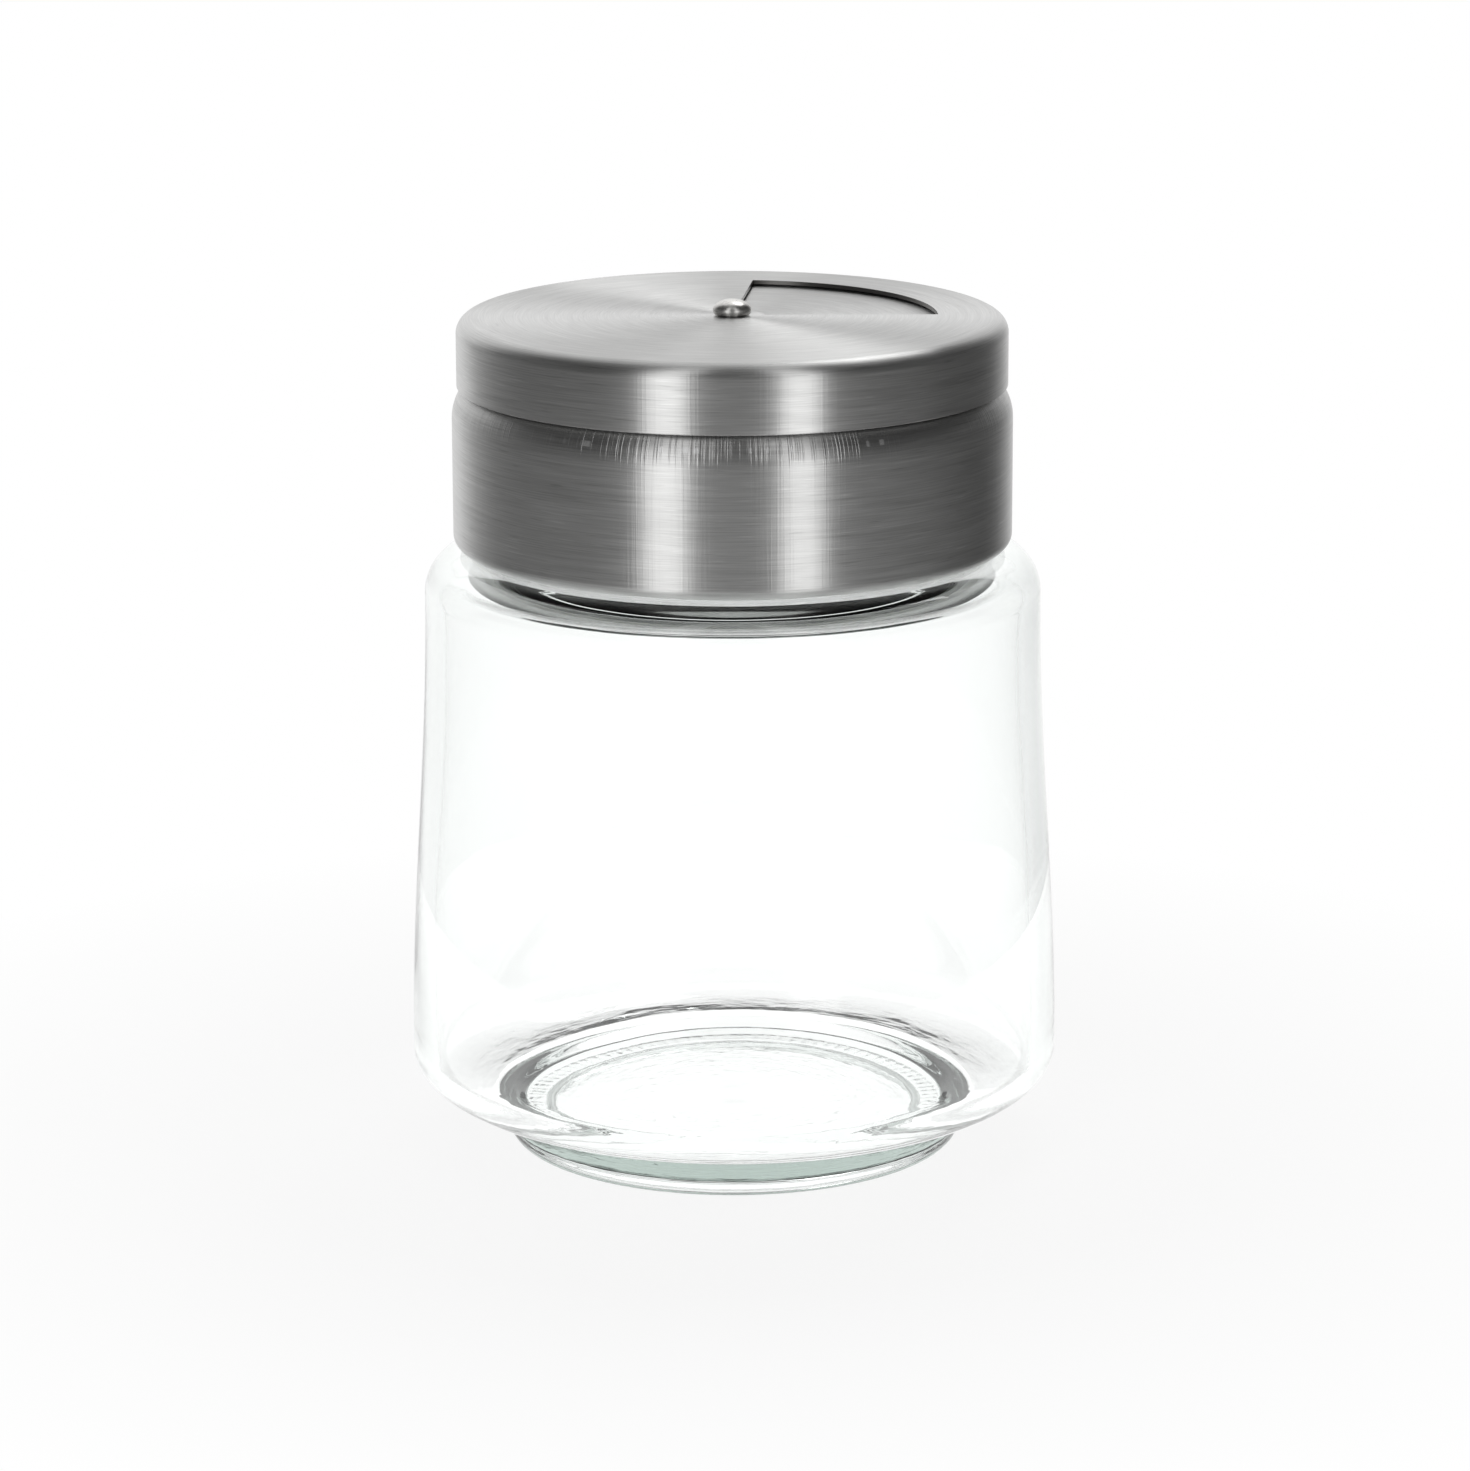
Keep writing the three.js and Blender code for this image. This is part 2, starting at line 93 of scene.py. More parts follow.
# turns a section round the axis; shift(radius, height, angle, row) may move a point
def turnedMesh(name, section, steps, shift=None):
    shape = bmesh.new()
    rows = []
    for row, (radius, height) in enumerate(section):
        if radius < 1e-6:
            rows.append([shape.verts.new((0, 0, height * mm))])
            continue
        ring = []
        for i in range(steps):
            angle = 2 * math.pi * i / steps
            r, z = (radius, height) if shift is None else shift(radius, height, angle, row)
            ring.append(shape.verts.new((r * mm * math.cos(angle), r * mm * math.sin(angle), z * mm)))
        rows.append(ring)
    closed = len(rows[0]) > 1
    following = rows[1:] + rows[:1] if closed else rows[1:]
    for here, there in zip(rows, following):
        for i in range(steps):
            j = (i + 1) % steps
            corners = [here[i % len(here)], here[j % len(here)], there[j % len(there)], there[i % len(there)]]
            shape.faces.new(list(dict.fromkeys(corners)))
    mesh = bpy.data.meshes.new(name)
    finishMesh(shape, mesh)
    return mesh


# merges doubles, turns the faces outward, and leaves edges over sharpAngle hard
def finishMesh(shape, mesh, sharpAngle=32):
    bmesh.ops.remove_doubles(shape, verts=shape.verts, dist=0.0005 * mm)
    bmesh.ops.recalc_face_normals(shape, faces=shape.faces)
    for face in shape.faces:
        face.smooth = True
    for edge in shape.edges:
        edge.smooth = len(edge.link_faces) == 2 and edge.calc_face_angle(0) < math.radians(sharpAngle)
    shape.to_mesh(mesh)
    shape.free()


# node helpers


# adds a node and gives back one of its outputs, or all of them where output is None; a text before the
# values is its operation, values go to the inputs in order, those of a dictionary by name, a socket is
# linked and a list of sockets is joined
def addNode(tree, kind, *values, output=0, **properties):
    named = kind.startswith(("Geometry", "Function", "NodeGroup"))
    node = tree.nodes.new(kind if named else "ShaderNode" + kind)
    if values and isinstance(values[0], str):
        properties["operation"], *values = values
    for key, value in properties.items():
        setattr(node, key, value)
    for place, value in enumerate(values):
        for key, item in (value if isinstance(value, dict) else {place: value}).items():
            for part in item if isinstance(item, list) else [item]:
                if isinstance(part, bpy.types.NodeSocket):
                    tree.links.new(part, node.inputs[key])
                else:
                    node.inputs[key].default_value = part
    return node.outputs if output is None else node.outputs[output]


def distanceFromAxis(add, x, y):
    squares = add("Math", "ADD", add("Math", "MULTIPLY", x, x), add("Math", "MULTIPLY", y, y))
    return add("Math", "SQRT", squares)


# a geometry tree with named inputs; lengths are in millimetres and angles in degrees
def newTree(name, inputs, takesMesh=True):
    tree = bpy.data.node_groups.new(name, "GeometryNodeTree")
    if takesMesh:
        tree.interface.new_socket("Geometry", in_out="INPUT", socket_type="NodeSocketGeometry")
    for label, value in inputs.items():
        kind = "NodeSocketInt" if isinstance(value, int) else "NodeSocketFloat"
        tree.interface.new_socket(label, in_out="INPUT", socket_type=kind).default_value = value
    if takesMesh:
        tree.interface.new_socket("material", in_out="INPUT", socket_type="NodeSocketMaterial")
    tree.interface.new_socket("Geometry", in_out="OUTPUT", socket_type="NodeSocketGeometry")
    add = partial(addNode, tree)
    return tree, add, add("NodeGroupInput", output=None)


def endTree(tree, geometry, material=None):
    if material is not None:
        whole = addNode(tree, "GeometryNodeRealizeInstances", geometry)
        geometry = addNode(tree, "GeometryNodeSetMaterial", {"Geometry": whole, "Material": material})
    addNode(tree, "NodeGroupOutput", geometry, output=None)
    return tree


def addObject(name, data):
    item = bpy.data.objects.new(name, data)
    bpy.context.scene.collection.objects.link(item)
    return item


# runs a mesh through geometry trees and gives back one plain mesh
def grownMesh(mesh, material, *treesAndSettings):
    for tree, settings in treesAndSettings:
        holder = addObject("holder", mesh)
        modifier = holder.modifiers.new("tree", "NODES")
        modifier.node_group = tree
        values = dict(settings, material=material)
        for item in tree.interface.items_tree:
            if item.item_type == "SOCKET" and item.in_out == "INPUT" and item.name in values:
                modifier[item.identifier] = values[item.name]
        evaluated = holder.evaluated_get(bpy.context.evaluated_depsgraph_get())
        mesh = bpy.data.meshes.new_from_object(evaluated)
        bpy.data.objects.remove(holder)
    shape = bmesh.new()
    shape.from_mesh(mesh)
    finishMesh(shape, mesh)
    return mesh


def addPiece(name, mesh, material, body, slot, *nodes):
    piece = addObject(name, mesh)
    mesh.name = name
    mesh.materials.clear()
    mesh.materials.append(material)
    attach(piece, body)
    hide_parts(*nodes)
    print("made", name, len(mesh.polygons), "faces")


# material helpers
smooth = {"interpolation_type": "SMOOTHSTEP"}


def linear(code):
    channels = [int(code[i:i + 2], 16) / 255 for i in (1, 3, 5)]
    return tuple(c / 12.92 if c <= 0.04045 else ((c + 0.055) / 1.055) ** 2.4 for c in channels) + (1,)


def shade(code, factor):
    return tuple(min(1, c * factor) for c in linear(code)[:3]) + (1,)


# each stop of a colour ramp is a place and a level of grey, or a place and a colour
def setStops(ramp, stops):
    elements = ramp.node.color_ramp.elements
    elements.remove(elements[1])
    for i, (place, level) in enumerate(stops):
        element = elements[0] if i == 0 else elements.new(place)
        element.position = place
        element.color = level if isinstance(level, tuple) else (level, level, level, 1)
    return ramp


def newMaterial(name):
    material = bpy.data.materials.new(name)
    material.use_nodes = True
    material.node_tree.nodes.clear()
    add = partial(addNode, material.node_tree)
    return material, add, add("TexCoord", output="Object")


def endMaterial(add, settings, volume=None):
    ends = {"Surface": add("BsdfPrincipled", settings)}
    if volume is not None:
        ends["Volume"] = volume
    add("OutputMaterial", ends, output=None)


# distance from the axis, height, and the direction round the axis as x and y
def roundCoordinates(add, place):
    x, y, z = add("SeparateXYZ", place, output=None)
    radius = distanceFromAxis(add, x, y)
    safe = add("Math", "MAXIMUM", radius, 1e-5)
    return radius, z, add("Math", "DIVIDE", x, safe), add("Math", "DIVIDE", y, safe)


# two values, each times its share, together
def blended(add, first, firstShare, second, secondShare):
    return add("Math", "ADD", add("Math", "MULTIPLY", first, firstShare),
               add("Math", "MULTIPLY", second, secondShare))


# the direction round the axis as waves in a turn, with a third coordinate
def wavedPlace(add, aroundX, aroundY, waves, third):
    return add("CombineXYZ", add("Math", "MULTIPLY", aroundX, waves),
               add("Math", "MULTIPLY", aroundY, waves), third)


# stainless steel sheet, brushed in circles on a wheel: light is drawn out across the scratches,
# so upright bands stay sharp on the sides and fans of light run out from the middle of the top
def circularBrushedSteel(name, look):
    material, add, place = newMaterial(name)
    radius, height, aroundX, aroundY = roundCoordinates(add, place)
    across = add("Math", "DIVIDE", add("Math", "SUBTRACT", radius, height), look["scratchWidth"] * mm)
    turns = look["scratchesInTurn"] / (2 * math.pi)
    path = add("CombineXYZ", across, add("Math", "MULTIPLY", aroundX, turns),
               add("Math", "MULTIPLY", aroundY, turns))
    fine = add("TexNoise", {"Vector": path, "Scale": 1.0, "Detail": 3.0})
    drawnOut = add("Mapping", {"Vector": path, "Scale": (0.2, 0.5, 0.5)})
    wide = add("TexNoise", {"Vector": drawnOut, "Scale": 1.0})
    elsewhere = add("Mapping", {"Vector": path, "Location": (9.0, 4.0, 7.0), "Scale": (0.7, 1.7, 1.7)})
    odd = add("TexNoise", {"Vector": elsewhere, "Scale": 1.0, "Detail": 1.0})
    wear = add("TexNoise", {"Vector": place, "Scale": look["wearScale"], "Detail": 3.0})
    lines = radiusOf("cap_shell") / look["drawnLineWidth"]
    upright = add("Math", "MULTIPLY", height, look["drawnLineScale"])
    drawn = add("TexNoise", {"Vector": wavedPlace(add, aroundX, aroundY, lines, upright), "Scale": 1.0})
    ridges = add("MapRange", drawn, *look["ridgesFromTo"], 0.0, 1.0, **smooth)
    tone = blended(add, fine, look["fineShare"], wide, 1 - look["fineShare"])
    bright = add("MapRange", odd, *look["brightFromTo"], 0.0, look["oddScratch"])
    dark = add("MapRange", odd, *look["darkFromTo"], 0.0, look["oddScratch"])
    tone = add("Math", "SUBTRACT", add("Math", "ADD", tone, bright), dark)
    colour = setStops(add("ValToRGB", tone), [(0.2, shade(look["colour"], 1 - look["contrast"])),
                                              (0.8, shade(look["colour"], 1 + look["contrast"]))])
    grain = blended(add, fine, look["grainShare"], wear, look["wearShare"])
    smoothest = look["roughness"] - (look["grainShare"] + look["wearShare"]) / 2
    roughness = add("Math", "ADD", grain, smoothest)
    scratched = add("Bump", {"Strength": 1.0, "Distance": look["scratchDepth"] * mm, "Height": fine})
    bend = add("MapRange", height, look["bendFrom"] * mm, look["bendTo"] * mm, look["drawnShare"], 1.0,
               **smooth)
    bend = add("Math", "MULTIPLY", bend, add("Math", "GREATER_THAN", radius, look["drawnFrom"] * mm))
    lined = add("Bump", {"Strength": bend, "Distance": look["drawnLineDepth"] * mm, "Height": ridges,
                         "Normal": scratched})
    tangent = add("Tangent", direction_type="RADIAL", axis="Z")
    # painted highlight: white, non-metal specks in a ring round the bend, on the eye's side only, standing in
    # for glints of light under the dial's edge
    below = add("Math", "ABSOLUTE", add("Math", "SUBTRACT", height, look["scuffHeight"] * mm))
    half = look["scuffWidth"] / 2 * mm
    ring = add("MapRange", below, 0.7 * half, half, 1.0, 0.0, **smooth)
    spots = wavedPlace(add, aroundX, aroundY, look["patchesInTurn"], 0.0)
    spots = add("TexNoise", {"Vector": spots, "Scale": 1.0, "Detail": 2.0})
    front = add("MapRange", aroundY, *look["frontFromTo"], 0.0, 1.0, **smooth)
    rubbed = add("MapRange", spots, *look["patchesFromTo"], 0.0, look["scuff"], **smooth)
    ring = add("Math", "MULTIPLY", ring, front)
    scuffed = add("Math", "MULTIPLY", ring, rubbed)
    colour = add("Mix", {0: scuffed, 6: colour, 7: (1, 1, 1, 1)}, data_type="RGBA", output=2)
    metal = add("Math", "SUBTRACT", 1.0, scuffed)
    normal = add("NewGeometry", output="True Normal")
    upright = add("Math", "LESS_THAN", add("Math", "ABSOLUTE", add("SeparateXYZ", normal, output=2)), 0.5)
    cut = add("Math", "MULTIPLY", upright, add("Math", "LESS_THAN", radius, look["cutWithin"] * mm))
    colour = add("Mix", {0: cut, 6: colour, 7: linear(look["cutColour"])}, data_type="RGBA", output=2)
    endMaterial(add, {"Base Color": colour, "Metallic": metal, "Roughness": roughness,
                      "Anisotropic": look["brushing"], "Anisotropic Rotation": 0.25, "Normal": lined,
                      "Tangent": tangent})
    return material


# headed steel rivet, polished in its die: small and bright, with faint rings and fine pits
def polishedSteel(name, look):
    material, add, place = newMaterial(name)
    radius, _, aroundX, aroundY = roundCoordinates(add, place)
    across = add("Math", "DIVIDE", radius, look["ringWidth"] * mm)
    rings = add("CombineXYZ", across, aroundX, aroundY)
    turning = add("TexNoise", {"Vector": rings, "Scale": 1.0})
    pits = add("TexNoise", {"Vector": place, "Scale": 1000 / look["pitWidth"], "Detail": 3.0})
    colour = setStops(add("ValToRGB", pits), [(0.35, shade(look["colour"], 0.82)),
                                              (0.6, shade(look["colour"], 1.0))])
    grain = blended(add, turning, look["turnedShare"], pits, look["pitShare"])
    smoothest = look["roughness"] - (look["turnedShare"] + look["pitShare"]) / 2
    roughness = add("Math", "ADD", grain, smoothest)
    bump = add("Bump", {"Strength": 0.5, "Distance": look["pitDepth"] * mm, "Height": pits})
    endMaterial(add, {"Base Color": colour, "Metallic": 1.0, "Roughness": roughness, "Normal": bump})
    return material


# pressed soda-lime glass: clear, green where it is thick, with the soft waves of fire polishing
def sodaLimeGlass(name, look):
    material, add, place = newMaterial(name)
    stretched = add("Mapping", {"Vector": place, "Scale": look["waveScales"]})
    waves = add("TexNoise", {"Vector": stretched, "Scale": 1000 / look["waveLength"], "Detail": 1.0})
    bump = add("Bump", {"Strength": 1.0, "Distance": look["waveDepth"] * mm, "Height": waves})
    radius, height, aroundX, aroundY = roundCoordinates(add, place)
    across = add("Math", "SUBTRACT", height, radius)
    across = add("Math", "DIVIDE", across, look["wrinkleWidth"] * mm)
    rings = wavedPlace(add, aroundX, aroundY, look["wrinklesRound"], across)
    chilled = add("MapRange", height, look["wrinklesTo"] * mm, look["wrinklesFrom"] * mm, 0.0, 1.0, **smooth)
    outside = add("MapRange", radius, look["smoothWithin"] * mm, look["wrinkledOver"] * mm, 0.0, 1.0, **smooth)
    chilled = add("Math", "MULTIPLY", chilled, outside)
    wrinkles = add("TexNoise", {"Vector": rings, "Scale": 1.0})
    wrinkled = add("Bump", {"Strength": chilled, "Distance": look["wrinkleDepth"] * mm, "Height": wrinkles,
                            "Normal": bump})
    absorb = add("VolumeAbsorption", {"Color": linear(look["tint"]), "Density": look["absorption"]})
    endMaterial(add, {"Base Color": (1, 1, 1, 1), "Roughness": look["roughness"], "IOR": look["ior"],
                      "Transmission Weight": 1.0, "Normal": wrinkled}, absorb)
    return material


# moulded plastic or soft seal: cloudy colour and a fine skin from the mould
def mouldedPlastic(name, look):
    material, add, place = newMaterial(name)
    cloud = add("TexNoise", {"Vector": place, "Scale": 1000 / look["cloudWidth"], "Detail": 3.0})
    skin = add("TexNoise", {"Vector": place, "Scale": 1000 / look["skinWidth"], "Detail": 3.0})
    colour = setStops(add("ValToRGB", cloud), [(0.35, shade(look["colour"], 0.88)),
                                               (0.65, shade(look["colour"], 1.0))])
    spread = look["roughnessSpread"]
    roughness = add("MapRange", skin, 0.3, 0.7, look["roughness"] - spread, look["roughness"] + spread)
    bump = add("Bump", {"Strength": 0.6, "Distance": look["skinDepth"] * mm, "Height": skin})
    endMaterial(add, {"Base Color": colour, "Roughness": roughness, "Normal": bump,
                      "Subsurface Weight": look["milkiness"], "Subsurface Radius": (0.002, 0.002, 0.0018)})
    return material


# camera: the photo's eye is 14 degrees above the shaker and a good half metre away
view = {
    "distance": 587.0,
    "elevation": 14.0,
    "eyeAim": 43.0,  # the height that distance and elevation are counted from
    "frameMiddle": 41.2,  # the height in the middle of the frame
    "frameRight": 0.17,
    "roll": -0.16,
    "focalLength": 143.3,
}


def addCamera(settings):
    data = bpy.data.cameras.new("photoCamera")
    data.sensor_width = 36
    data.lens = settings["focalLength"]
    camera = addObject("photoCamera", data)
    tilt = math.radians(settings["elevation"])
    away = settings["distance"]
    eye = Vector((0, -away * math.cos(tilt), settings["eyeAim"] + away * math.sin(tilt)))
    aim = Vector((settings["frameRight"], 0, settings["frameMiddle"]))
    camera.location = eye * mm
    camera.rotation_euler = (aim - eye).to_track_quat("-Z", "Y").to_euler()
    camera.rotation_euler.rotate_axis("Z", math.radians(settings["roll"]))
    bpy.context.scene.camera = camera


addCamera(view)

# studio: a white backdrop, a grey room on the eye's side with two tall lights, a window above
room = {
    # light by direction in degrees from the eye's side, to the right: near the table, and overhead
    "sides": [(-180, 0.95), (-150, 0.9), (-140, 0.68), (-130, 0.4), (-115, 0.25), (-95, 0.19), (-60, 0.18),
              (-46, 0.24), (-39, 0.42), (-35, 1.85), (-21, 1.85), (-17, 0.38), (-9, 0.26), (9, 0.26),
              (18, 0.38), (22, 1.9), (35, 1.9), (39, 0.42), (46, 0.26), (60, 0.19), (100, 0.12),
              (125, 0.11), (137, 0.14), (150, 0.38), (160, 0.66), (168, 0.9), (180, 0.95)],
    "above": [(-180, 1.15), (-160, 1.1), (-140, 0.9), (-120, 0.12), (-110, 0.06), (-55, 0.06), (-40, 0.12),
              (-35, 1.4), (-21, 1.4), (-17, 0.14), (-12, 0.1), (12, 0.1), (18, 0.12), (22, 1.2), (35, 1.2),
              (39, 0.1), (50, 0.04), (130, 0.05), (140, 0.1), (152, 0.75), (166, 0.9), (180, 1.15)],
    "aboveFrom": 4.0,
    "aboveTo": 26.0,
    "ceiling": 0.3,
    "ceilingFrom": 66.0,
    "ceilingTo": 84.0,
    "strength": 1.0,
    "backdropFrom": 35.0,  # from straight behind: the backdrop is white up to here, seen through the glass
    "backdropTo": 80.0,
    "backdropStrength": 1.16,  # makes up for what the glass takes, so that its walls stay white
    "throughShare": 0.52,  # what thick glass, which turns the light far round, still sees of the backdrop
    "lowShare": 0.95,  # under the horizon the backdrop is nearly white all round, for eyes on other sides
    "lowFrom": -2.0,
    "lowTo": -8.0,
}


def addRoom(settings):
    world = bpy.data.worlds.new("studioRoom")
    bpy.context.scene.world = world
    world.use_nodes = True
    world.node_tree.nodes.clear()
    add = partial(addNode, world.node_tree)
    angles = {key: math.radians(value) for key, value in settings.items() if key.endswith(("From", "To"))}
    way = add("TexCoord", output="Generated")
    x, y, z = add("SeparateXYZ", way, output=None)
    turn = add("Math", "ARCTAN2", x, add("Math", "MULTIPLY", y, -1.0))
    share = add("MapRange", turn, -math.pi, math.pi, 0.0, 1.0)
    levels = []
    for key in ("sides", "above"):
        stops = [(0.5 + angle / 360, level) for angle, level in settings[key]]
        levels.append(setStops(add("ValToRGB", share), stops))
    rise = add("Math", "ARCSINE", z)
    upper = add("MapRange", rise, angles["aboveFrom"], angles["aboveTo"], 0.0, 1.0, **smooth)
    top = add("MapRange", rise, angles["ceilingFrom"], angles["ceilingTo"], 0.0, 1.0, **smooth)
    walls = add("Mix", {0: upper, 2: levels[0], 3: levels[1]})
    level = add("Mix", {0: top, 2: walls, 3: settings["ceiling"]})
    lit = add("Background", {"Color": level, "Strength": settings["strength"]})
    ray = add("LightPath", output=None)
    strength = add("MapRange", ray["Is Transmission Ray"], 0.0, 1.0, 1.0, settings["backdropStrength"])
    plain = add("Background", {"Color": (1, 1, 1, 1), "Strength": strength})
    behind = add("MapRange", y, math.cos(angles["backdropTo"]), math.cos(angles["backdropFrom"]), 0.0, 1.0,
                 **smooth)
    behind = add("Math", "MAXIMUM", behind, settings["throughShare"])
    low = add("MapRange", rise, angles["lowFrom"], angles["lowTo"], 0.0, settings["lowShare"], **smooth)
    behind = add("Math", "MAXIMUM", behind, low)
    through = add("Math", "MULTIPLY", ray["Is Transmission Ray"], behind)
    seen = add("Math", "MAXIMUM", ray["Is Camera Ray"], through)
    mixed = add("MixShader", seen, lit, plain)
    add("OutputWorld", mixed, output=None)


addRoom(room)

table = {"radius": 120.0, "shadowShare": 0.1, "plainFrom": 50.0, "plainTo": 115.0, "throughStrength": 1.26,
         "colour": "#f4f4f4"}


# matt white table top; the eye, metal and glass see it white as the backdrop, with its shadow kept
def addTable(look):
    material, add, place = newMaterial("mattWhiteTable")
    radius = roundCoordinates(add, place)[0]
    away = add("MapRange", radius, look["plainFrom"] * mm, look["plainTo"] * mm, 1 - look["shadowShare"], 1.0)
    ray = add("LightPath", output=None)
    seen = add("Math", "MAXIMUM", ray["Is Camera Ray"], ray["Is Glossy Ray"])
    seen = add("Math", "MAXIMUM", seen, ray["Is Transmission Ray"])
    matt = add("BsdfDiffuse", {"Color": linear(look["colour"])})
    strength = add("MapRange", ray["Is Transmission Ray"], 0.0, 1.0, 1.0, look["throughStrength"])
    plain = add("Emission", {"Color": (1, 1, 1, 1), "Strength": strength})
    mixed = add("MixShader", add("Math", "MULTIPLY", away, seen), matt, plain)
    add("OutputMaterial", mixed, output=None)
    shape = bmesh.new()
    bmesh.ops.create_circle(shape, cap_ends=True, radius=look["radius"] * mm, segments=96)
    mesh = bpy.data.meshes.new("table")
    shape.to_mesh(mesh)
    shape.free()
    mesh.materials.append(material)
    top = addObject("table", mesh)
    top.location.z = -0.02 * mm


addTable(table)

# soft lamp behind and above, to the right: it draws the two bright fans on the brushed top
softbox = {"size": 0.36, "power": 1.3, "distance": 1.0, "turn": 28.0, "rise": 55.0, "aim": (0, 0, 0.04)}


def addSoftbox(settings):
    data = bpy.data.lights.new("softbox", "AREA")
    data.shape = "SQUARE"
    data.size = settings["size"]
    data.energy = settings["power"]
    lamp = addObject("softbox", data)
    turn, rise = math.radians(settings["turn"]), math.radians(settings["rise"])
    way = Vector((math.sin(turn) * math.cos(rise), math.cos(turn) * math.cos(rise), math.sin(rise)))
    lamp.location = Vector(settings["aim"]) + way * settings["distance"]
    lamp.rotation_euler = (-way).to_track_quat("-Z", "Y").to_euler()


addSoftbox(softbox)
bpy.context.scene.view_settings.view_transform = "Standard"
print("camera, room, table and lamp set")

# screw thread on a turned wall: a ridge that climbs round the axis and fades at both ends
screw = {
    "pitch": 4.0,
    "root width": 1.9,
    "crest width": 0.8,
    "fade share": 0.1,
    "height": 1.0,
    "drop": 3.0,
    "jar turns": 1.25,
    "insert turns": 1.0,
    "insert lag": 1 / 6,
}
threadBase = highOf("glass_jar") - screw["drop"] - screw["jar turns"] * screw["pitch"]


def threadTree():
    tree, add, given = newTree("screwThread", {
        "wall radius": 1.0, "height": 1.0, "start height": 1.0, "start turn": 0.0, "turns": 1.0,
        "pitch": 1.0, "root width": 1.0, "crest width": 1.0, "fade share": 0.1})
    x, y, z = add("SeparateXYZ", add("GeometryNodeInputPosition"), output=None)
    radius = add("Math", "DIVIDE", distanceFromAxis(add, x, y), mm)
    level = add("Math", "DIVIDE", z, mm)
    lap = add("Math", "DIVIDE", add("Math", "ARCTAN2", y, x), 2 * math.pi)
    first = add("Math", "FRACT", add("Math", "SUBTRACT", lap, given["start turn"]))
    shares = []
    for turn in (first, add("Math", "ADD", first, 1.0)):
        middle = add("Math", "MULTIPLY_ADD", given["pitch"], turn, given["start height"])
        off = add("Math", "ABSOLUTE", add("Math", "SUBTRACT", level, middle))
        half = add("Math", "MULTIPLY", given["root width"], 0.5)
        room = add("Math", "SUBTRACT", half, off)
        slope = add("Math", "SUBTRACT", given["root width"], given["crest width"])
        slope = add("Math", "MULTIPLY", slope, 0.5)
        flank = add("Math", "DIVIDE", room, slope, use_clamp=True)
        end = add("Math", "MINIMUM", turn, add("Math", "SUBTRACT", given["turns"], turn))
        fade = add("Math", "MULTIPLY", given["turns"], given["fade share"])
        fade = add("Math", "DIVIDE", end, fade, use_clamp=True)
        shares.append(add("Math", "MULTIPLY", flank, fade))
    rise = add("Math", "MULTIPLY", add("Math", "MAXIMUM", *shares), given["height"])
    safe = add("Math", "MAXIMUM", radius, 1.0)
    ways = [add("Math", "DIVIDE", way, safe) for way in (x, y)]
    offset = add("CombineXYZ", *[add("Math", "MULTIPLY", way, rise) for way in ways], 0.0)
    onWall = add("FunctionNodeCompare", "EQUAL", {"A": radius, "B": given["wall radius"], "Epsilon": 0.02},
                 data_type="FLOAT")
    moved = add("GeometryNodeSetPosition", {
        "Geometry": given["Geometry"], "Selection": onWall, "Offset": offset})
    return endTree(tree, moved, given["material"])


screwThread = threadTree()


def threadSettings(wallRadius, direction, startHeight, startTurn, turns):
    settings = {key: screw[key] for key in ("pitch", "root width", "crest width", "fade share")}
    settings.update({"wall radius": wallRadius, "height": direction * screw["height"],
                     "start height": startHeight, "start turn": startTurn, "turns": turns})
    return settings


# glass jar
jar = {
    "bodyHeight": 60.6,
    "wallFlare": 1.85,
    "shoulderRound": 4.1,
    "heelHeight": 9.6,
    "heelReach": 8.4,
    "heelDrop": 4.9,
    "footStep": 1.2,
    "footRound": 1.4,
    "footFace": 2.2,
    "footDraft": 0.4,
    "footFillet": 1.0,
    "hollowDepth": 1.1,
    "hollowSlope": 1.5,
    "wall": 2.2,
    "shoulderWall": 2.25,
    "innerShoulder": (2.9, 2.15),
    "mouthRound": 0.5,
    "cornerReach": 7.3,
    "cornerRise": 5.1,
    "cornerEnd": -79.5,
    "shelfHeight": 5.0,  # inside, over the heel
    "shelfEdge": 22.3,
    "floorEdge": 1.6,
    "floorHeight": 4.1,  # the middle of the floor is sunk into the foot
    "markRadius": 1.1,
    "markDepth": 0.06,
    "neckDiameter": 46.8,
    "neckWall": 2.8,
    "neckFillet": 0.8,
    "rimRound": 0.9,
    "boreDraft": 0.85,  # the plunger that pressed the glass was tapered, so the mouth widens upward
    "innerWave": 0.16,  # pressed glass is smooth outside and a little uneven inside
    "innerWavesRound": 1.3,
    "innerWavesUp": 0.045,
    "knurlMargin": 0.1,
    "steps": 288,
}

# fine marks round the standing ring, which keep the hot jar from sliding on the belt
knurls = {"knurls": 96, "knurl depth": 0.07}


def knurlTree():
    tree, add, given = newTree("footKnurls", {
        "knurls": 96, "knurl depth": 0.2, "inner radius": 1.0, "outer radius": 2.0})
    x, y, z = add("SeparateXYZ", add("GeometryNodeInputPosition"), output=None)
    radius = add("Math", "DIVIDE", distanceFromAxis(add, x, y), mm)
    angle = add("Math", "MULTIPLY", add("Math", "ARCTAN2", y, x), given["knurls"])
    tooth = add("Math", "MULTIPLY_ADD", add("Math", "COSINE", angle), 0.5, 0.5)
    rise = add("Math", "MULTIPLY", tooth, given["knurl depth"])
    rise = add("Math", "MULTIPLY", rise, mm)
    tests = [(radius, given["inner radius"], "GREATER_THAN"), (given["outer radius"], radius, "GREATER_THAN"),
             (1e-6, z, "GREATER_THAN")]
    chosen = None
    for first, second, kind in tests:
        test = add("FunctionNodeCompare", kind, {"A": first, "B": second}, data_type="FLOAT")
        chosen = test if chosen is None else add("FunctionNodeBooleanMath", "AND", chosen, test)
    moved = add("GeometryNodeSetPosition", {
        "Geometry": given["Geometry"], "Selection": chosen, "Offset": add("CombineXYZ", 0.0, 0.0, rise)})
    return endTree(tree, moved, given["material"])


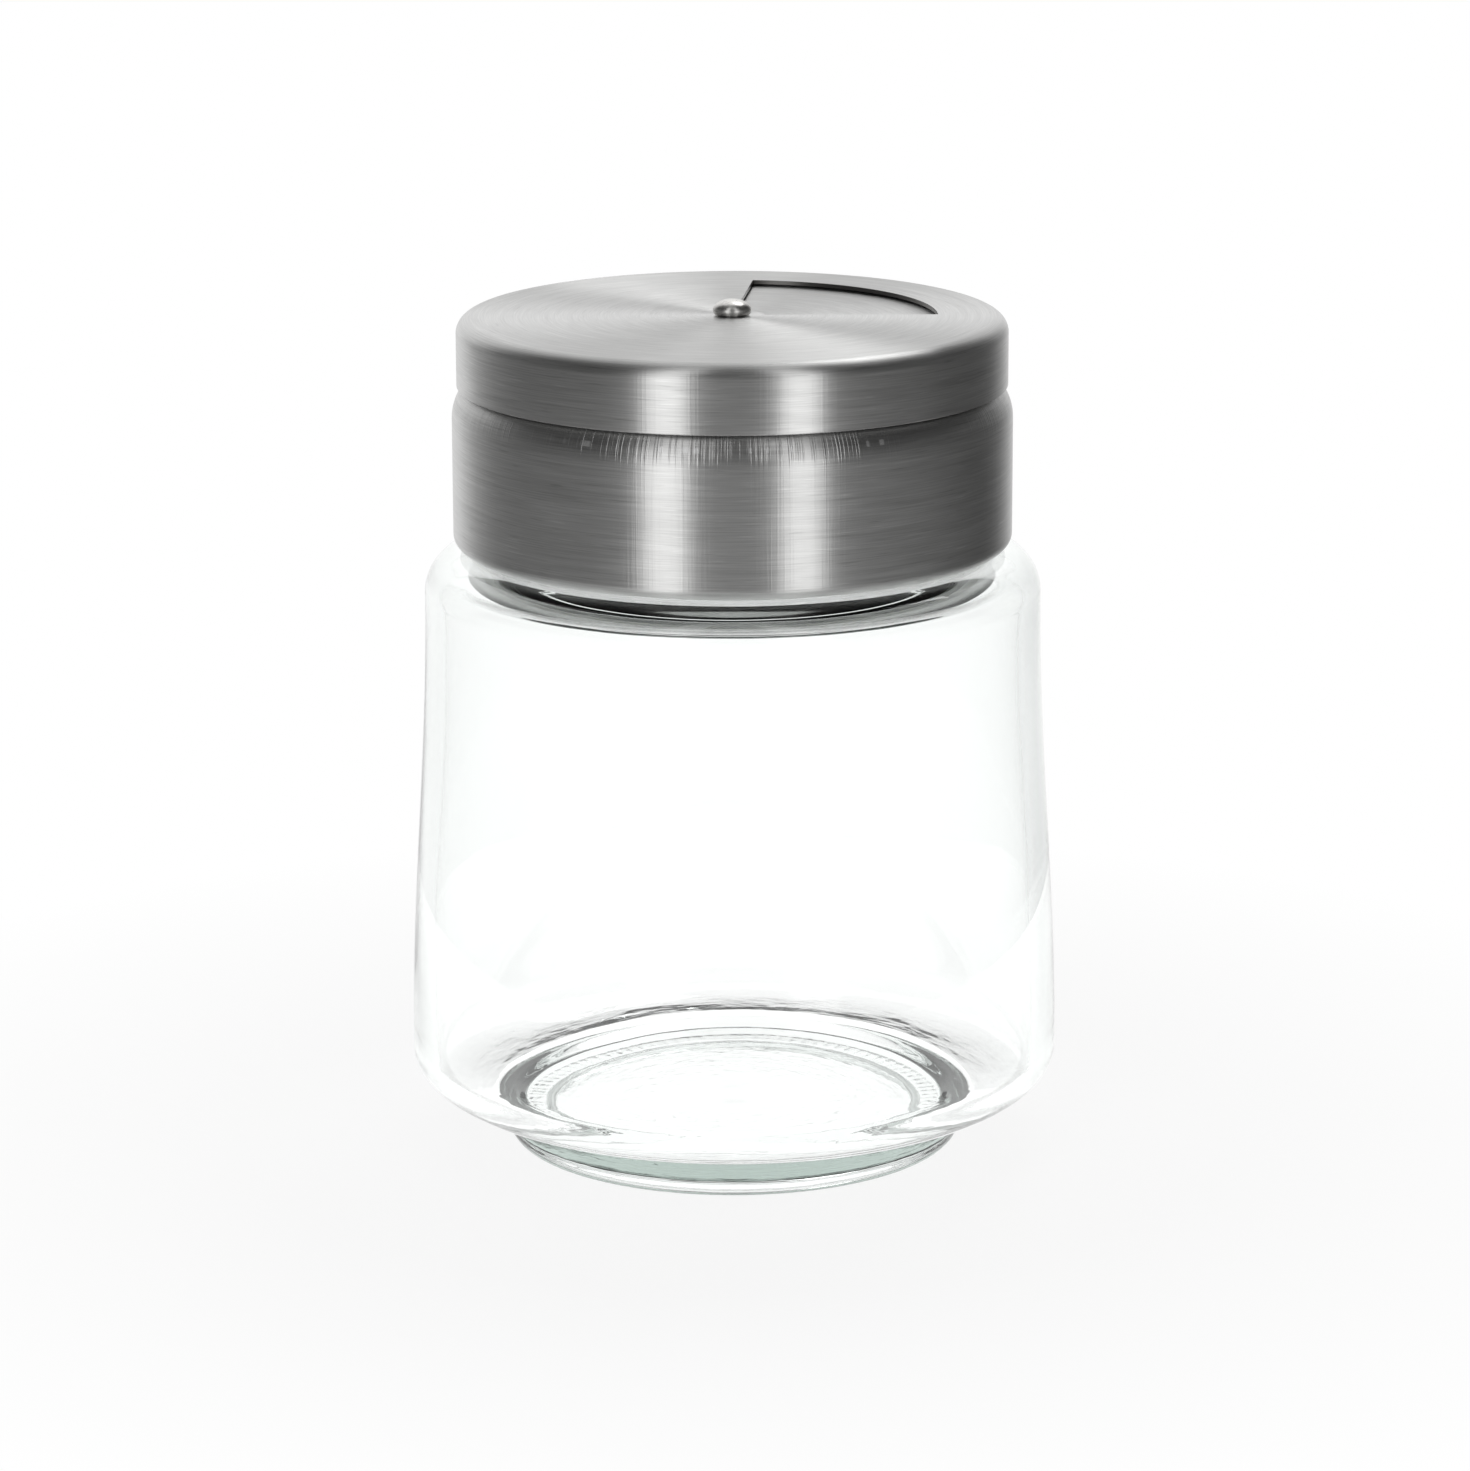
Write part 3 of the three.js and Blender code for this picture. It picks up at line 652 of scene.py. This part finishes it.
def wallRadiusAt(height, s):
    wallTop = s["bodyHeight"] - s["shoulderRound"]
    share = min(1.0, max(0.0, (wallTop - height) / (wallTop - s["heelHeight"])))
    return radiusOf("glass_jar") - s["wallFlare"] * (1 - math.sin(math.pi / 2 * share) ** 2)


def wallPoints(fromHeight, toHeight, inset, steps, s):
    heights = [fromHeight + (toHeight - fromHeight) * i / steps for i in range(steps + 1)]
    return [(wallRadiusAt(height, s) - inset, height) for height in heights]


def makeJar(s, material):
    jarRadius = radiusOf("glass_jar")
    rim = highOf("glass_jar")
    shoulderRadius = jarRadius - s["wallFlare"]
    heelCentre = jarRadius - s["heelReach"]
    footRadius = heelCentre - s["footStep"]
    drafted = footRadius + s["footDraft"]
    footOuter = footRadius - s["footRound"]
    footInner = footOuter - s["footFace"]
    footTop = s["heelHeight"] - s["heelDrop"] - s["footFillet"]
    hollow = (s["hollowSlope"] / 2, s["hollowDepth"] / 2)
    neck = s["neckDiameter"] / 2
    bore = neck - s["neckWall"]
    innerTop = s["bodyHeight"] - s["shoulderWall"]
    wallTop = s["bodyHeight"] - s["shoulderRound"]
    corner = (s["cornerReach"], s["cornerRise"])
    cornerTop = s["shelfHeight"] + corner[1]
    cornerCentre = wallRadiusAt(cornerTop, s) - s["wall"] - corner[0]
    neckBase = s["bodyHeight"] + s["neckFillet"]
    rimBase = rim - s["rimRound"]
    mouth = s["mouthRound"]
    knurled = {"inner radius": footInner + s["knurlMargin"], "outer radius": footOuter - s["knurlMargin"]}
    innerReach, innerDrop = s["innerShoulder"]
    innerCentre = (shoulderRadius - s["wall"] - innerReach, innerTop - innerDrop)
    outer = [(0, s["hollowDepth"])]
    outer += linePoints(outer[-1], (footInner - s["hollowSlope"], s["hollowDepth"]), 8)
    outer += arcPoints((footInner - s["hollowSlope"], hollow[1]), hollow, 90, 0, 5)[1:]
    outer += arcPoints((footInner, hollow[1]), hollow, 180, 270, 5)[1:]
    outer += linePoints((footInner, 0), (footOuter, 0), 8)
    outer += arcPoints((footOuter, s["footRound"]), s["footRound"], -90, 0, 10)[1:]
    outer += linePoints(outer[-1], (drafted, footTop), 4)
    outer += arcPoints((drafted + s["footFillet"], footTop), s["footFillet"], 180, 100, 4)[1:]
    outer += arcPoints((heelCentre, s["heelHeight"]), (s["heelReach"], s["heelDrop"]), -88, 0, 22)
    outer += wallPoints(s["heelHeight"], wallTop, 0, 22, s)[1:]
    outer += arcPoints((shoulderRadius - s["shoulderRound"], wallTop), s["shoulderRound"], 0, 90, 14)[1:]
    outer += arcPoints((neck + s["neckFillet"], neckBase), s["neckFillet"], 270, 180, 5)
    outer += linePoints((neck, neckBase), (neck, rimBase), 60)
    outer += arcPoints((neck - s["rimRound"], rimBase), s["rimRound"], 0, 90, 5)[1:]
    outer += arcPoints((bore + s["boreDraft"] + s["rimRound"], rimBase), s["rimRound"], 90, 180, 5)
    inner = arcPoints((bore + mouth, innerTop + mouth), mouth, 180, 270, 6)
    inner += arcPoints(innerCentre, (innerReach, innerDrop), 90, 0, 14)
    inner += wallPoints(innerCentre[1], cornerTop, s["wall"], 24, s)[1:]
    inner += arcPoints((cornerCentre, cornerTop), corner, 0, s["cornerEnd"], 16)[1:]
    slope = corner[1] / corner[0] / math.tan(math.radians(-s["cornerEnd"]))
    edgeHeight = inner[-1][1] - slope * (inner[-1][0] - s["shelfEdge"])
    inner += linePoints(inner[-1], (s["shelfEdge"], edgeHeight), 6)
    for i in range(1, 13):
        height = edgeHeight + (s["floorHeight"] - edgeHeight) * smoothStep(0, 1, i / 12)
        inner.append((s["shelfEdge"] - s["floorEdge"] * i / 12, height))
    inner += linePoints(inner[-1], (s["markRadius"], s["floorHeight"]), 8)
    inner.append((0, s["floorHeight"] - s["markDepth"]))

    def shift(radius, height, angle, row):
        if row < len(outer):
            return radius, height
        waves = s["innerWavesRound"]
        place = Vector((math.cos(angle) * waves, math.sin(angle) * waves, height * s["innerWavesUp"]))
        share = smoothStep(s["floorHeight"] - 1, s["floorHeight"] + 6, height)
        share *= 1 - smoothStep(s["bodyHeight"], rim, height)
        return radius + s["innerWave"] * noise.noise(place) * share, height

    return grownMesh(
        turnedMesh("jar", outer + inner, s["steps"], shift), material,
        (screwThread, threadSettings(neck, 1, threadBase, 0.0, screw["jar turns"])),
        (knurlTree(), dict(knurls, **knurled)))


glassLook = {
    "ior": 1.52,
    "roughness": 0.0,
    "tint": "#dfe6e3",
    "absorption": 72.0,  # per metre, so that only thick glass turns green
    "waveLength": 8.0,
    "waveDepth": 0.03,
    "waveScales": (1.0, 1.0, 0.45),  # longer up the wall than round it
    "wrinklesRound": 5.0,  # chill wrinkles round the base, where the hot glass first met the mould
    "wrinkleWidth": 1.0,
    "wrinkleDepth": 0.03,
    "wrinklesFrom": 9.0,
    "wrinklesTo": 13.0,
    "smoothWithin": 3.0,  # distances from the axis between which they grow
    "wrinkledOver": 11.0,
}

glass = sodaLimeGlass("pressedSodaLimeGlass", glassLook)
addPiece("jar_glass", makeJar(jar, glass), glass, "jar", "glass", "glass_jar")

# steel cap shell: one drawn sheet with a turned-in lower edge and a punched plate on top
cap = {
    "sheet": 0.4,
    "neckRadius": radiusOf("shaker_dial") - 0.75,
    "shoulderReach": 3.25,
    "shoulderRise": 4.0,
    "shoulderDrop": 3.3,
    "cornerRound": 0.9,
    "curlRound": 1.2,
    "curlLip": 0.6,
    "shankHole": 1.3,
    "steps": 256,
}

# first is the radius of the inmost row, step the way to the next, which has so many more holes
openings = {
    "closed middle": 42.0, "spread": 58.0,
    "fine diameter": 1.6, "fine first": 7.0, "fine step": 3.6,
    "fine rows": 4, "fine count": 2, "fine more": 1,
    "coarse diameter": 3.4, "coarse first": 9.0, "coarse step": 6.5,
    "coarse rows": 2, "coarse count": 2, "coarse more": 2,
    "pour inner": 5.8, "pour outer": 18.7, "pour angle": 68.0,
}

window = {"window inner": 3.2, "window outer": 20.3, "window middle": 42.0, "window angle": 84.0}


def polarPlace(add, radius, degrees, height):
    angle = add("Math", "RADIANS", degrees)
    reach, level = [add("Math", "MULTIPLY", length, mm) for length in (radius, height)]
    ways = [add("Math", kind, angle) for kind in ("COSINE", "SINE")]
    return add("CombineXYZ", *[add("Math", "MULTIPLY", reach, way) for way in ways], level)


# punch for a slice of a ring
def slicePunchTree():
    tree, add, given = newTree("slicePunch", {
        "inner": 1.0, "outer": 2.0, "middle": 0.0, "angle": 60.0, "low": 0.0, "high": 1.0}, False)
    cube = add("GeometryNodeMeshCube", {
        "Size": (1, 1, 1), "Vertices X": 2, "Vertices Y": 61, "Vertices Z": 2})
    x, y, z = add("SeparateXYZ", add("GeometryNodeInputPosition"), output=None)
    radius = add("MapRange", x, -0.5, 0.5, given["inner"], given["outer"])
    degrees = add("Math", "MULTIPLY_ADD", y, given["angle"], given["middle"])
    height = add("MapRange", z, -0.5, 0.5, given["low"], given["high"])
    moved = add("GeometryNodeSetPosition", {
        "Geometry": cube, "Position": polarPlace(add, radius, degrees, height)})
    return endTree(tree, moved)


# punches for rows of round holes, each row a little longer than the one inside it
def rowPunchTree():
    tree, add, given = newTree("rowPunch", {
        "diameter": 1.0, "first": 7.0, "step": 3.0, "rows": 3, "count": 2, "more": 1, "spread": 60.0,
        "middle": 0.0, "low": 0.0, "high": 1.0}, False)
    start = tree.nodes.new("GeometryNodeRepeatInput")
    end = tree.nodes.new("GeometryNodeRepeatOutput")
    start.pair_with_output(end)
    tree.links.new(given["rows"], start.inputs["Iterations"])
    row = start.outputs["Iteration"]
    radius = add("Math", "MULTIPLY_ADD", row, given["step"], given["first"])
    count = add("Math", "MULTIPLY_ADD", row, given["more"], given["count"])
    lastRow = add("Math", "SUBTRACT", given["rows"], 1.0)
    lastRadius = add("Math", "MULTIPLY_ADD", lastRow, given["step"], given["first"])
    lastCount = add("Math", "MULTIPLY_ADD", lastRow, given["more"], given["count"])
    spaces = add("Math", "SUBTRACT", lastCount, 1.0)
    spacing = add("Math", "DIVIDE", given["spread"], spaces)
    degreesEach = add("Math", "MULTIPLY", spacing, lastRadius)
    degreesEach = add("Math", "DIVIDE", degreesEach, radius)
    half = add("Math", "MULTIPLY", add("Math", "SUBTRACT", count, 1.0), 0.5)
    index = add("GeometryNodeInputIndex")
    index = add("Math", "SUBTRACT", index, half)
    degrees = add("Math", "MULTIPLY_ADD", index, degreesEach, given["middle"])
    height = add("Math", "MULTIPLY", add("Math", "ADD", given["low"], given["high"]), 0.5)
    places = add("GeometryNodePoints", {"Count": count, "Position": polarPlace(add, radius, degrees, height)})
    depth = add("Math", "SUBTRACT", given["high"], given["low"])
    depth = add("Math", "MULTIPLY", depth, mm)
    holeRadius = add("Math", "MULTIPLY", given["diameter"], 0.5 * mm)
    punch = add("GeometryNodeMeshCylinder", {"Vertices": 32, "Radius": holeRadius, "Depth": depth})
    placed = add("GeometryNodeInstanceOnPoints", {"Points": places, "Instance": punch})
    joined = add("GeometryNodeJoinGeometry", [start.outputs["Geometry"], placed])
    tree.links.new(joined, end.inputs["Geometry"])
    whole = add("GeometryNodeRealizeInstances", end.outputs["Geometry"])
    return endTree(tree, whole)


slicePunch = slicePunchTree()
rowPunch = rowPunchTree()


def punchedWith(tree, add, given, punches):
    sheet = {"Mesh 1": given["Geometry"], "Mesh 2": add("GeometryNodeJoinGeometry", punches)}
    cut = add("GeometryNodeMeshBoolean", "DIFFERENCE", sheet, solver="EXACT")
    return endTree(tree, cut, given["material"])


def plateTree():
    tree, add, given = newTree("punchedPlate", dict(openings, low=0.0, high=1.0))
    punches = []
    rowKeys = ("diameter", "first", "step", "rows", "count", "more")
    for kind, turn, keys, punch in (("fine", 90.0, rowKeys, rowPunch), ("coarse", 180.0, rowKeys, rowPunch),
                                    ("pour", -90.0, ("inner", "outer", "angle"), slicePunch)):
        settings = {key: given[kind + " " + key] for key in keys}
        settings.update({"middle": add("Math", "ADD", given["closed middle"], turn),
                         "low": given["low"], "high": given["high"]})
        if punch == rowPunch:
            settings["spread"] = given["spread"]
        punches.append(add("GeometryNodeGroup", settings, node_tree=punch))
    return punchedWith(tree, add, given, punches)


def windowTree():
    tree, add, given = newTree("dialWindow", dict(window, low=0.0, high=1.0))
    settings = {key: given["window " + key] for key in ("inner", "outer", "middle", "angle")}
    settings.update({"low": given["low"], "high": given["high"]})
    return punchedWith(tree, add, given, [add("GeometryNodeGroup", settings, node_tree=slicePunch)])


# the last ring before a rounding is narrow, so that the flat plate stays flat in the light
holdingRing = 0.15


def makeCap(s, material):
    radius = radiusOf("cap_shell")
    base = lowOf("cap_shell")
    top = highOf("cap_shell")
    sheet = s["sheet"]
    straightTop = lowOf("shaker_dial") - s["shoulderDrop"]
    shoulder = (s["shoulderReach"], s["shoulderRise"])
    shoulderInner = (shoulder[0] - sheet, shoulder[1] - sheet)
    roundCentre = radius - shoulder[0]
    outerStart = math.degrees(math.acos((s["neckRadius"] - roundCentre) / shoulder[0]))
    innerStart = math.degrees(math.acos((s["neckRadius"] - sheet - roundCentre) / shoulderInner[0]))
    corner = (s["neckRadius"] - s["cornerRound"], top - s["cornerRound"])
    cornerInner = s["cornerRound"] - sheet
    curl = (radius - s["curlRound"], base + s["curlRound"])
    curlInner = s["curlRound"] - sheet
    lip = curl[0] - s["curlLip"]
    section = [(s["shankHole"], top), (s["shankHole"], top - sheet), (corner[0] - holdingRing, top - sheet)]
    section += arcPoints(corner, cornerInner, 90, 0, 4)
    section += arcPoints((roundCentre, straightTop), shoulderInner, innerStart, 0, 10)
    section += arcPoints(curl, curlInner, 0, -90, 6)
    section += [(lip, base + sheet), (lip, base)]
    section += arcPoints(curl, s["curlRound"], -90, 0, 10)
    section += linePoints(section[-1], (radius, straightTop), 6)
    section += arcPoints((roundCentre, straightTop), shoulder, 0, outerStart, 18)[1:]
    section += arcPoints(corner, s["cornerRound"], 0, 90, 8)
    section += [(corner[0] - holdingRing, top)]
    settings = dict(openings, low=top - 2 * sheet, high=top + sheet)
    return grownMesh(turnedMesh("cap", section, s["steps"]), material, (plateTree(), settings))


steelLook = {
    "colour": "#c3c3c2",
    "contrast": 0.28,
    "fineShare": 0.65,  # of the tone, the rest is from wider scratches
    "oddScratch": 0.18,  # deeper scratches here and there, brighter or darker than the rest
    "brightFromTo": (0.66, 0.76),
    "darkFromTo": (0.34, 0.24),
    "roughness": 0.33,
    "grainShare": 0.1,
    "wearShare": 0.08,
    "wearScale": 90.0,
    "brushing": 0.95,
    "scratchWidth": 0.12,  # real ones are about 0.03 mm wide, drawn wider so that they show
    "scratchesInTurn": 26.0,
    "scratchDepth": 0.002,
    "drawnLineWidth": 0.22,  # upright lines from drawing the sheet, strongest where it bends in
    "drawnLineDepth": 0.001,
    "drawnLineScale": 50.0,
    "ridgesFromTo": (0.48, 0.68),
    "drawnShare": 0.15,
    "drawnFrom": 25.0,
    "bendFrom": lowOf("shaker_dial") - cap["shoulderDrop"],
    "bendTo": lowOf("shaker_dial") - 1.5,
    "scuffHeight": lowOf("shaker_dial") - 1.4,  # painted highlight: a ring of white, non-metal specks just under the dial's edge, standing in for light caught on the bend
    "scuffWidth": 0.6,
    "scuff": 0.0,
    "patchesInTurn": 26.0,
    "patchesFromTo": (0.52, 0.62),
    "frontFromTo": (-0.75, -0.95),
    "cutColour": "#7d7c7a",  # the sheared edges of the openings are dull and dark
    "cutWithin": 24.0,
}

steel = circularBrushedSteel("circularBrushedSteel", steelLook)
# the shell's steel carries the painted highlight specks on its bend; the dial's steel has none
drawnSteel = circularBrushedSteel("drawnAndBrushedSteel", dict(steelLook, drawnLineDepth=0.01, scuff=0.45))
addPiece("cap_shell_steel", makeCap(cap, drawnSteel), drawnSteel, "lid", "brushed_steel", "cap_shell")

# steel dial
dial = {"sheet": 0.4, "cornerRound": 1.55, "shankHole": 1.3, "edge": 0.08, "steps": 256}


def makeDial(s, material):
    radius = radiusOf("shaker_dial")
    base = lowOf("shaker_dial")
    top = highOf("shaker_dial")
    sheet, edge = s["sheet"], s["edge"]
    corner = (radius - s["cornerRound"], top - s["cornerRound"])
    section = [(s["shankHole"], top), (s["shankHole"], top - sheet), (corner[0] - holdingRing, top - sheet)]
    section += arcPoints(corner, s["cornerRound"] - sheet, 90, 0, 8)
    section += [(radius - sheet, base + edge), (radius - sheet + edge, base)]
    section += [(radius - edge, base), (radius, base + edge)]
    section += arcPoints(corner, s["cornerRound"], 0, 90, 14)
    section += [(corner[0] - holdingRing, top)]
    settings = dict(window, low=top - 2 * sheet, high=top + sheet)
    return grownMesh(turnedMesh("dial", section, s["steps"]), material, (windowTree(), settings))


addPiece("dial_steel", makeDial(dial, steel), steel, "dial", "brushed_steel", "shaker_dial")

# rivet, turned as one solid with its head and its set tail
rivet = {"headRadius": 1.9, "headFoot": 1.7, "headRimHeight": 0.5, "shankRadius": 1.2, "tailRadius": 1.8,
         "tailHeight": 0.7, "gap": 0.1, "steps": 64}


def makeRivet(s):
    low = lowOf("centre_rivet")
    top = highOf("centre_rivet")
    foot = highOf("shaker_dial") + s["gap"]
    rim = highOf("shaker_dial") + s["headRimHeight"]
    tailTop = low + s["tailHeight"]
    tailRound = s["tailHeight"] / 2
    section = [(0, low)]
    section += arcPoints((s["tailRadius"] - tailRound, low + tailRound), tailRound, -90, 90, 12)
    section += [(s["shankRadius"], tailTop), (s["shankRadius"], foot), (s["headFoot"], foot)]
    section += arcPoints((s["headFoot"], rim), (s["headRadius"] - s["headFoot"], rim - foot), -90, 0, 5)[1:]
    section += arcPoints((0, rim), (s["headRadius"], top - rim), 0, 90, 16)[1:-1]
    section += [(0, top)]
    return turnedMesh("rivet", section, s["steps"])


rivetLook = {"colour": "#dddcd9", "roughness": 0.3, "turnedShare": 0.12, "ringWidth": 0.15, "pitShare": 0.1,
             "pitWidth": 0.3, "pitDepth": 0.01}
polished = polishedSteel("polishedRivetSteel", rivetLook)
addPiece("centre_rivet_steel", makeRivet(rivet), polished, "lid", "polished_steel", "centre_rivet")

# plastic insert: a threaded cup with a flange below and ribs that hold it in the steel shell
insert = {
    "bore": 20.6,
    "wallBore": 24.7,
    "wallRadius": 26.0,
    "flange": 1.2,
    "chamfer": 0.8,
    "topRound": 0.5,
    "threadRow": 0.3,
    "ribSink": 0.3,
    "steps": 192,
}

ribs = {"ribs": 16, "rib width": 1.2}


# upright ribs round a wall, set a little into it
def ribTree():
    tree, add, given = newTree("insertRibs", {
        "ribs": 16, "rib width": 1.0, "inner radius": 1.0, "outer radius": 2.0, "low": 0.0, "high": 1.0})
    index = add("GeometryNodeInputIndex")
    degrees = add("Math", "DIVIDE", add("Math", "MULTIPLY", index, 360.0), given["ribs"])
    reach = add("Math", "SUBTRACT", given["outer radius"], given["inner radius"])
    rise = add("Math", "SUBTRACT", given["high"], given["low"])
    middle = add("Math", "ADD", given["outer radius"], given["inner radius"])
    middle = add("Math", "MULTIPLY", middle, 0.5)
    level = add("Math", "MULTIPLY", add("Math", "ADD", given["low"], given["high"]), 0.5)
    places = add("GeometryNodePoints", {
        "Count": given["ribs"], "Position": polarPlace(add, middle, degrees, level)})
    sizes = [add("Math", "MULTIPLY", length, mm) for length in (reach, given["rib width"], rise)]
    rib = add("GeometryNodeMeshCube", {"Size": add("CombineXYZ", *sizes)})
    turn = add("CombineXYZ", 0.0, 0.0, add("Math", "RADIANS", degrees))
    placed = add("GeometryNodeInstanceOnPoints", {"Points": places, "Instance": rib, "Rotation": turn})
    joined = add("GeometryNodeJoinGeometry", [given["Geometry"], placed])
    return endTree(tree, joined, given["material"])


def makeInsert(s, material):
    base = lowOf("cap_insert")
    top = highOf("cap_insert")
    outer = radiusOf("cap_insert")
    under = top - s["flange"]
    flangeBase = base + s["chamfer"]
    flangeTop = flangeBase + s["flange"]
    rows = round((under - base) / s["threadRow"])
    section = [(s["bore"], top), (s["bore"], under), (s["wallBore"], under)]
    section += linePoints(section[-1], (s["wallBore"], base), rows)
    section += [(outer - s["chamfer"], base), (outer, flangeBase)]
    section += [(outer, flangeTop), (s["wallRadius"], flangeTop)]
    section += arcPoints((s["wallRadius"] - s["topRound"], top - s["topRound"]), s["topRound"], 0, 90, 5)
    start = threadBase + screw["pitch"] * (screw["insert lag"] - 0.5)
    ribTop = lowOf("shaker_dial") - cap["shoulderDrop"]
    return grownMesh(
        turnedMesh("insert", section, s["steps"]), material,
        (screwThread, threadSettings(s["wallBore"], -1, start, screw["insert lag"], screw["insert turns"])),
        (ribTree(), dict(ribs, **{"inner radius": s["wallRadius"] - s["ribSink"], "outer radius": outer,
                                  "low": flangeTop, "high": ribTop})))


plasticLook = {"colour": "#f2f2ee", "roughness": 0.42, "roughnessSpread": 0.08, "cloudWidth": 6.0,
               "skinWidth": 0.2, "skinDepth": 0.01, "milkiness": 0.3}
plastic = mouldedPlastic("naturalPolypropylene", plasticLook)
addPiece("cap_insert_plastic", makeInsert(insert, plastic), plastic, "lid", "insert_plastic", "cap_insert")

# soft seal: a flat foam ring with rounded edges
sealRing = {"edge": 0.35, "steps": 160}


def makeSeal(s):
    edge = s["edge"]
    low, high = lowOf("sealing_ring") + edge, highOf("sealing_ring") - edge
    inner, outer = innerRadiusOf("sealing_ring") + edge, radiusOf("sealing_ring") - edge
    section = []
    for centre, start in (((inner, low), 180), ((outer, low), 270), ((outer, high), 0), ((inner, high), 90)):
        section += arcPoints(centre, edge, start, start + 90, 4)
    return turnedMesh("seal", section, s["steps"])


sealLook = {"colour": "#efeee9", "roughness": 0.6, "roughnessSpread": 0.08, "cloudWidth": 3.0,
            "skinWidth": 0.4, "skinDepth": 0.02, "milkiness": 0.1}
seal = mouldedPlastic("softSealFoam", sealLook)
addPiece("sealing_ring_foam", makeSeal(sealRing), seal, "seal", "seal", "sealing_ring")

# carried-over nodes with their own finish
springLook = dict(rivetLook, colour="#a9a8a4", roughness=0.27, ringWidth=0.2, pitWidth=0.4)
spring = polishedSteel("rolledSpringSteel", springLook)
for node, material in (("rivet_washer", polished), ("spring_washer", spring)):
    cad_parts[node].data.materials.clear()
    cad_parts[node].data.materials.append(material)
